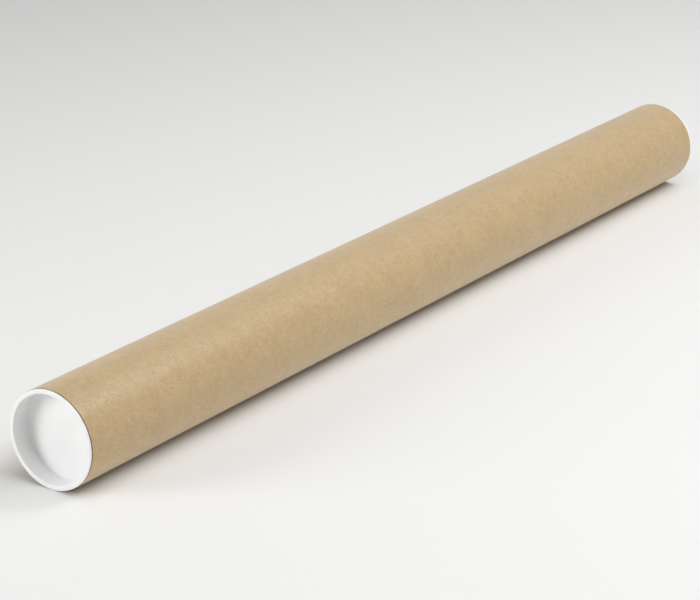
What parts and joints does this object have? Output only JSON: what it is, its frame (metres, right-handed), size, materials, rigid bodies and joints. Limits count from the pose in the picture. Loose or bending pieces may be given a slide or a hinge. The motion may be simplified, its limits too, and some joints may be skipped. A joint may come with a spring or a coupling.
{
  "type": "cardboard mailing tube",
  "caption": "Long round kraft paperboard mailing tube with a recessed white plastic plug pushed into each end, for posting rolled sheets.",
  "frame": {"origin": "centre of the lower plug's lip, in the plane that the tube stands on", "axes": "+Z along the tube's axis, from the lower end to the upper end; X and Y across it"},
  "size_m": [0.0795, 0.0796, 0.9178],
  "materials": {
    "kraft_paperboard": "solid paperboard wound from kraft paper, uncoated, brown and matt with fine fibres",
    "white_plastic": "moulded white polyethylene, satin"
  },
  "bodies": {
    "tube": {"tube": "kraft_paperboard"},
    "end_cap_top": {"end_cap_top": "white_plastic"},
    "end_cap_bottom": {"end_cap_bottom": "white_plastic"}
  },
  "joints": [
    {"name": "top_cap_pull", "type": "slide", "parent": "tube", "child": "end_cap_top", "axis": [0, 0, 1], "range_m": [0, 0.04]},
    {"name": "bottom_cap_pull", "type": "slide", "parent": "tube", "child": "end_cap_bottom", "axis": [0, 0, -1], "range_m": [0, 0.04]}
  ]
}
